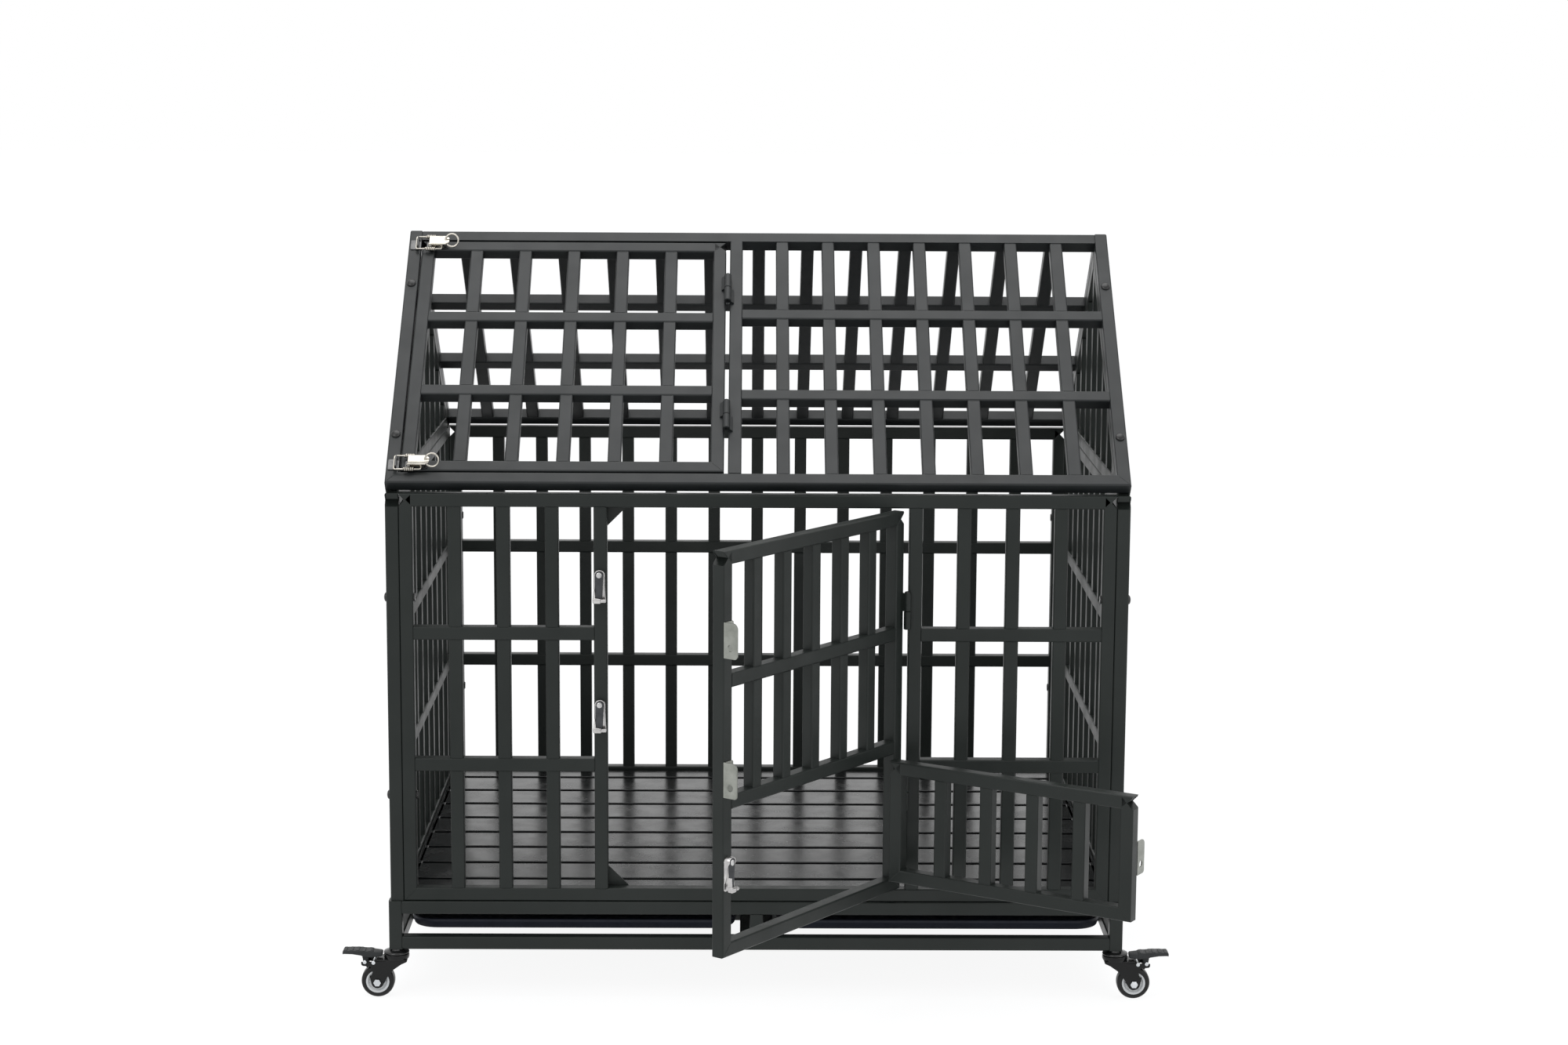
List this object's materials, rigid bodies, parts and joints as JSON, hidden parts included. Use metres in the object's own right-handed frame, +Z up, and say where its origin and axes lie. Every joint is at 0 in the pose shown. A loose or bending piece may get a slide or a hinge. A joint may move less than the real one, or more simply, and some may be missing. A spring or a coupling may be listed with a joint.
{
  "type": "heavy duty dog crate",
  "caption": "Heavy duty welded tube dog crate with a pitched roof, a front door with a smaller door in it, a latched roof door, slide-out trays and braked casters",
  "frame": {"origin": "middle of the whole part's footprint on the ground, with its doors as pictured, at the wheels' lowest point", "axes": "+X to the crate's right as seen from the front, +Y to the back, +Z up"},
  "size_m": [1.247, 1.1632, 1.129],
  "materials": {
    "frame_paint": "charcoal hammered powder coat",
    "roof_paint": "charcoal powder coat, semi-gloss",
    "floor_paint": "glossy black powder coat",
    "black_fastener": "black oxide",
    "latch_steel": "nickel plated",
    "rivet_steel": "bright zinc",
    "strike_steel": "nickel plated",
    "toggle_base_steel": "dark zinc",
    "toggle_nickel": "bright nickel",
    "tray_plastic": "blue-black moulded",
    "race_steel": "glossy black",
    "fork_paint": "glossy black",
    "axle_zinc": "zinc plated",
    "pedal_plastic": "dark grey, ribbed",
    "tyre_rubber": "black rubber",
    "hub_plastic": "white"
  },
  "bodies": {
    "cabin": {"base_frame": "frame_paint", "floor_grate": "floor_paint", "front_panel": "frame_paint", "back_panel": "frame_paint", "left_panel": "frame_paint", "right_panel": "frame_paint", "left_gable": "frame_paint", "right_gable": "frame_paint", "roof_front_frame": "roof_paint", "roof_back_panel": "roof_paint", "panel_bolts": "black_fastener", "roof_front_bolts": "black_fastener", "roof_back_bolts": "black_fastener", "main_hinge_pins": "black_fastener", "roof_hinge_pins": "black_fastener", "jamb_latch_housings": "latch_steel", "jamb_latch_rivets": "rivet_steel", "toggle_keepers": "toggle_base_steel", "caster_races": "race_steel"},
    "main_door": {"main_door": "frame_paint", "main_door_strikes": "strike_steel", "small_hinge_pins": "black_fastener", "small_latch_housing": "latch_steel", "small_latch_rivet": "rivet_steel"},
    "small_door": {"small_door": "frame_paint", "small_door_strike": "strike_steel"},
    "roof_door": {"roof_door": "roof_paint", "toggle_bases": "toggle_base_steel", "toggle_rods": "rivet_steel"},
    "upper_jamb_latch": {"upper_jamb_latch_lever": "latch_steel"},
    "lower_jamb_latch": {"lower_jamb_latch_lever": "latch_steel"},
    "small_latch": {"small_latch_lever": "latch_steel"},
    "left_tray": {"left_tray": "tray_plastic"},
    "right_tray": {"right_tray": "tray_plastic"},
    "lower_toggle_lever": {"lower_toggle_lever": "toggle_nickel"},
    "lower_bail": {"lower_toggle_bail": "toggle_nickel"},
    "lower_ring": {"lower_pull_ring": "toggle_nickel"},
    "upper_toggle_lever": {"upper_toggle_lever": "toggle_nickel"},
    "upper_bail": {"upper_toggle_bail": "toggle_nickel"},
    "upper_ring": {"upper_pull_ring": "toggle_nickel"},
    "front_left_swivel": {"front_left_fork": "fork_paint", "front_left_caster_bolts": "axle_zinc"},
    "front_left_wheel": {"front_left_tyre": "tyre_rubber", "front_left_hub": "hub_plastic"},
    "front_left_pedal": {"front_left_brake_pedal": "pedal_plastic"},
    "front_right_swivel": {"front_right_fork": "fork_paint", "front_right_caster_bolts": "axle_zinc"},
    "front_right_wheel": {"front_right_tyre": "tyre_rubber", "front_right_hub": "hub_plastic"},
    "front_right_pedal": {"front_right_brake_pedal": "pedal_plastic"},
    "back_left_swivel": {"back_left_fork": "fork_paint", "back_left_caster_bolts": "axle_zinc"},
    "back_left_wheel": {"back_left_tyre": "tyre_rubber", "back_left_hub": "hub_plastic"},
    "back_left_pedal": {"back_left_brake_pedal": "pedal_plastic"},
    "back_right_swivel": {"back_right_fork": "fork_paint", "back_right_caster_bolts": "axle_zinc"},
    "back_right_wheel": {"back_right_tyre": "tyre_rubber", "back_right_hub": "hub_plastic"},
    "back_right_pedal": {"back_right_brake_pedal": "pedal_plastic"}
  },
  "joints": [
    {"name": "main_door_hinge", "type": "hinge", "parent": "cabin", "child": "main_door", "pos_m": [0.2215, -0.2172, 0.46], "axis": [0, 0, 1], "range_deg": [-53.3, 36.7]},
    {"name": "small_door_hinge", "type": "hinge", "parent": "main_door", "child": "small_door", "pos_m": [0.20816, -0.23594, 0.288], "axis": [0, 0, 1], "range_deg": [-95, 0]},
    {"name": "roof_door_hinge", "type": "hinge", "parent": "cabin", "child": "roof_door", "pos_m": [-0.0482, -0.01999, 0.96289], "axis": [0, 0.7519, 0.6593], "range_deg": [0, 165]},
    {"name": "upper_jamb_latch_turn", "type": "hinge", "parent": "cabin", "child": "upper_jamb_latch", "pos_m": [-0.2347, -0.2107, 0.65], "axis": [0, -1, 0], "range_deg": [-6, 15]},
    {"name": "lower_jamb_latch_turn", "type": "hinge", "parent": "cabin", "child": "lower_jamb_latch", "pos_m": [-0.2347, -0.2107, 0.454], "axis": [0, -1, 0], "range_deg": [-6, 15]},
    {"name": "small_latch_turn", "type": "hinge", "parent": "main_door", "child": "small_latch", "pos_m": [-0.0422, -0.56094, 0.311], "axis": [0.8018, -0.5976, 0], "range_deg": [-6, 15]},
    {"name": "left_tray_slide", "type": "slide", "parent": "cabin", "child": "left_tray", "axis": [0, -1, 0], "range_m": [0, 0.7]},
    {"name": "right_tray_slide", "type": "slide", "parent": "cabin", "child": "right_tray", "axis": [0, -1, 0], "range_m": [0, 0.7]},
    {"name": "lower_toggle_throw", "type": "hinge", "parent": "roof_door", "child": "lower_toggle_lever", "pos_m": [-0.5155, -0.19154, 0.81444], "axis": [0, -0.7519, -0.6593], "range_deg": [0, 90]},
    {"name": "lower_bail_turn", "type": "hinge", "parent": "lower_toggle_lever", "child": "lower_bail", "pos_m": [-0.4975, -0.19022, 0.81294], "axis": [0, -0.7519, -0.6593], "range_deg": [-90, 0]},
    {"name": "lower_ring_swing", "type": "hinge", "parent": "lower_toggle_lever", "child": "lower_ring", "pos_m": [-0.4915, -0.19401, 0.81726], "axis": [0, 0, -1], "range_deg": [-10, 45]},
    {"name": "upper_toggle_throw", "type": "hinge", "parent": "roof_door", "child": "upper_toggle_lever", "pos_m": [-0.5155, 0.14959, 1.11359], "axis": [0, -0.7519, -0.6593], "range_deg": [0, 90]},
    {"name": "upper_bail_turn", "type": "hinge", "parent": "upper_toggle_lever", "child": "upper_bail", "pos_m": [-0.4975, 0.15091, 1.11208], "axis": [0, -0.7519, -0.6593], "range_deg": [-90, 0]},
    {"name": "upper_ring_swing", "type": "hinge", "parent": "upper_toggle_lever", "child": "upper_ring", "pos_m": [-0.4915, 0.14712, 1.11641], "axis": [0, 0, -1], "range_deg": [-10, 45]},
    {"name": "front_left_swivel", "type": "hinge", "parent": "cabin", "child": "front_left_swivel", "pos_m": [-0.543, -0.2037, 0.075], "axis": [0, 0, 1], "continuous": true},
    {"name": "front_left_wheel_spin", "type": "hinge", "parent": "front_left_swivel", "child": "front_left_wheel", "pos_m": [-0.571, -0.2037, 0.025], "axis": [0, 1, 0], "continuous": true},
    {"name": "front_left_brake", "type": "hinge", "parent": "front_left_swivel", "child": "front_left_pedal", "pos_m": [-0.5896, -0.2037, 0.0565], "axis": [0, -1, 0], "range_deg": [0, 10]},
    {"name": "front_right_swivel", "type": "hinge", "parent": "cabin", "child": "front_right_swivel", "pos_m": [0.543, -0.2037, 0.075], "axis": [0, 0, 1], "continuous": true},
    {"name": "front_right_wheel_spin", "type": "hinge", "parent": "front_right_swivel", "child": "front_right_wheel", "pos_m": [0.571, -0.2037, 0.025], "axis": [0, 1, 0], "continuous": true},
    {"name": "front_right_brake", "type": "hinge", "parent": "front_right_swivel", "child": "front_right_pedal", "pos_m": [0.5896, -0.2037, 0.0565], "axis": [0, 1, 0], "range_deg": [0, 10]},
    {"name": "back_left_swivel", "type": "hinge", "parent": "cabin", "child": "back_left_swivel", "pos_m": [-0.543, 0.5623, 0.075], "axis": [0, 0, 1], "continuous": true},
    {"name": "back_left_wheel_spin", "type": "hinge", "parent": "back_left_swivel", "child": "back_left_wheel", "pos_m": [-0.571, 0.5623, 0.025], "axis": [0, 1, 0], "continuous": true},
    {"name": "back_left_brake", "type": "hinge", "parent": "back_left_swivel", "child": "back_left_pedal", "pos_m": [-0.5896, 0.5623, 0.0565], "axis": [0, -1, 0], "range_deg": [0, 10]},
    {"name": "back_right_swivel", "type": "hinge", "parent": "cabin", "child": "back_right_swivel", "pos_m": [0.543, 0.5623, 0.075], "axis": [0, 0, 1], "continuous": true},
    {"name": "back_right_wheel_spin", "type": "hinge", "parent": "back_right_swivel", "child": "back_right_wheel", "pos_m": [0.571, 0.5623, 0.025], "axis": [0, 1, 0], "continuous": true},
    {"name": "back_right_brake", "type": "hinge", "parent": "back_right_swivel", "child": "back_right_pedal", "pos_m": [0.5896, 0.5623, 0.0565], "axis": [0, 1, 0], "range_deg": [0, 10]}
  ],
  "couplings": [
    {"joint": "lower_bail_turn", "follows": "lower_toggle_throw", "ratio": -1},
    {"joint": "upper_bail_turn", "follows": "upper_toggle_throw", "ratio": -1}
  ]
}
